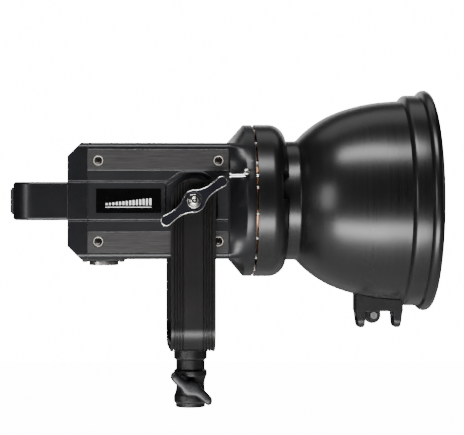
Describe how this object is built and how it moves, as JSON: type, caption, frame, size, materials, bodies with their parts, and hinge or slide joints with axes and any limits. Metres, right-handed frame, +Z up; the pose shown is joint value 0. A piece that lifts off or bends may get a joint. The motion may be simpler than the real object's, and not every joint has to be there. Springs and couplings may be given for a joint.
{
  "type": "studio monolight",
  "caption": "Continuous-light monolight with a bayonet bell reflector, rear handle, tilting yoke with a stand socket, and an umbrella bracket.",
  "frame": {"origin": "mouth of the stand socket's bore, on its axis", "axes": "-Z leaves the stand socket towards the stand, +X runs forward out of the reflector, +Z is up"},
  "size_m": [0.3455, 0.1832, 0.2621],
  "materials": {
    "black_anodised": "brushed black anodised",
    "black_casting": "satin black powder coat on a casting",
    "black_spun_aluminium": "satin black, spun",
    "black_plastic": "fine moulded grain",
    "grey_rubber": "matt key rubber",
    "grip_rubber": "ribbed soft rubber",
    "gloss_badge": "gloss black",
    "display_glass": "polished display window",
    "polished_steel": "polished",
    "plain_steel": "plated, turned",
    "copper": "bare copper",
    "bare_aluminium": "bare, rolled",
    "friction_washer": "fibre",
    "gold_contact": "gold flashed",
    "circuit_board": "solder mask",
    "white_reflector": "white enamel",
    "phosphor": "yellow phosphor"
  },
  "bodies": {
    "yoke_frame": {"yoke": "black_anodised", "socket_bolt": "plain_steel", "socket_collar": "black_casting", "stand_socket": "black_casting"},
    "stand_lock": {"lock_wing": "black_plastic", "lock_screw": "plain_steel"},
    "lamp_head": {"side_panel_right": "black_anodised", "side_panel_left": "black_anodised", "side_screws": "plain_steel", "top_cover": "black_anodised", "bottom_cover": "black_anodised", "rear_cap": "black_anodised", "chassis": "black_anodised", "badge_plates": "gloss_badge", "rear_handle": "black_anodised", "handle_grip": "grip_rubber", "handle_screws": "plain_steel", "control_panel": "black_plastic", "display_window": "display_glass", "board_parts": "circuit_board", "control_board": "circuit_board", "switch_frame": "black_plastic", "front_shell": "black_anodised", "vent_ring": "black_anodised", "bayonet_ring": "black_anodised", "heat_spreader": "copper", "heat_pipes": "copper", "heat_fins": "bare_aluminium", "lamp_plate": "white_reflector", "led_board": "bare_aluminium", "led_emitter": "phosphor", "led_clamp": "black_plastic", "fan_frame": "black_plastic", "driver_board": "circuit_board", "driver_parts": "circuit_board", "inlet_plate": "black_plastic", "inlet_shell": "polished_steel", "inlet_core": "black_plastic", "inlet_pins": "gold_contact", "inlet_screws": "plain_steel", "pivot_discs": "friction_washer", "pivot_bolt": "plain_steel"},
    "fan": {"fan_rotor": "black_plastic"},
    "brightness_dial": {"brightness_knob": "black_plastic"},
    "colour_dial": {"colour_knob": "black_plastic"},
    "mode_key": {"mode_button": "grey_rubber"},
    "channel_key": {"channel_button": "grey_rubber"},
    "effect_key": {"effect_button": "grey_rubber"},
    "power_switch": {"power_rocker": "black_plastic"},
    "tilt_clamp": {"tilt_lever": "black_plastic", "tilt_screw": "polished_steel"},
    "release": {"release_rod": "polished_steel", "release_knob": "polished_steel"},
    "reflector": {"reflector_shell": "black_spun_aluminium", "reflector_flange": "black_casting", "flange_rivets": "plain_steel", "umbrella_bracket": "black_casting", "bracket_screws": "plain_steel"},
    "umbrella_lock": {"umbrella_knob": "black_plastic", "umbrella_screw": "plain_steel"}
  },
  "joints": [
    {"name": "head_tilt", "type": "hinge", "parent": "yoke_frame", "child": "lamp_head", "pos_m": [0, 0, 0.1705], "axis": [0, 1, 0], "range_deg": [-60, 18]},
    {"name": "clamp_lever_turn", "type": "hinge", "parent": "lamp_head", "child": "tilt_clamp", "pos_m": [0, -0.058, 0.1705], "axis": [0, -1, 0], "range_deg": [0, 180]},
    {"name": "stand_screw_turn", "type": "hinge", "parent": "yoke_frame", "child": "stand_lock", "pos_m": [0, -0.017, 0.0167], "axis": [0, -1, 0], "range_deg": [0, 180]},
    {"name": "umbrella_screw_turn", "type": "hinge", "parent": "reflector", "child": "umbrella_lock", "pos_m": [0.1535, 0.016, 0.0743], "axis": [0, 1, 0], "range_deg": [0, 180]},
    {"name": "reflector_twist", "type": "hinge", "parent": "lamp_head", "child": "reflector", "pos_m": [0.07, 0, 0.1705], "axis": [1, 0, 0], "range_deg": [0, 26]},
    {"name": "release_slide", "type": "slide", "parent": "lamp_head", "child": "release", "axis": [1, 0, 0], "range_m": [-0.0071, 0]},
    {"name": "brightness_turn", "type": "hinge", "parent": "lamp_head", "child": "brightness_dial", "pos_m": [-0.0996, -0.021, 0.1705], "axis": [1, 0, 0], "continuous": true},
    {"name": "colour_turn", "type": "hinge", "parent": "lamp_head", "child": "colour_dial", "pos_m": [-0.0996, -0.002, 0.1705], "axis": [1, 0, 0], "continuous": true},
    {"name": "mode_press", "type": "slide", "parent": "lamp_head", "child": "mode_key", "axis": [1, 0, 0], "range_m": [0, 0.0008], "stiffness_N_per_m": 300},
    {"name": "channel_press", "type": "slide", "parent": "lamp_head", "child": "channel_key", "axis": [1, 0, 0], "range_m": [0, 0.0008], "stiffness_N_per_m": 300},
    {"name": "effect_press", "type": "slide", "parent": "lamp_head", "child": "effect_key", "axis": [1, 0, 0], "range_m": [0, 0.0008], "stiffness_N_per_m": 300},
    {"name": "power_rock", "type": "hinge", "parent": "lamp_head", "child": "power_switch", "pos_m": [-0.0974, 0.019, 0.1705], "axis": [0, 1, 0], "range_deg": [0, 14]},
    {"name": "fan_spin", "type": "hinge", "parent": "lamp_head", "child": "fan", "pos_m": [-0.0225, 0, 0.1705], "axis": [1, 0, 0], "continuous": true}
  ],
  "couplings": [
    {"joint": "release_slide", "follows": "reflector_twist", "m_per_rad": -0.015426}
  ]
}
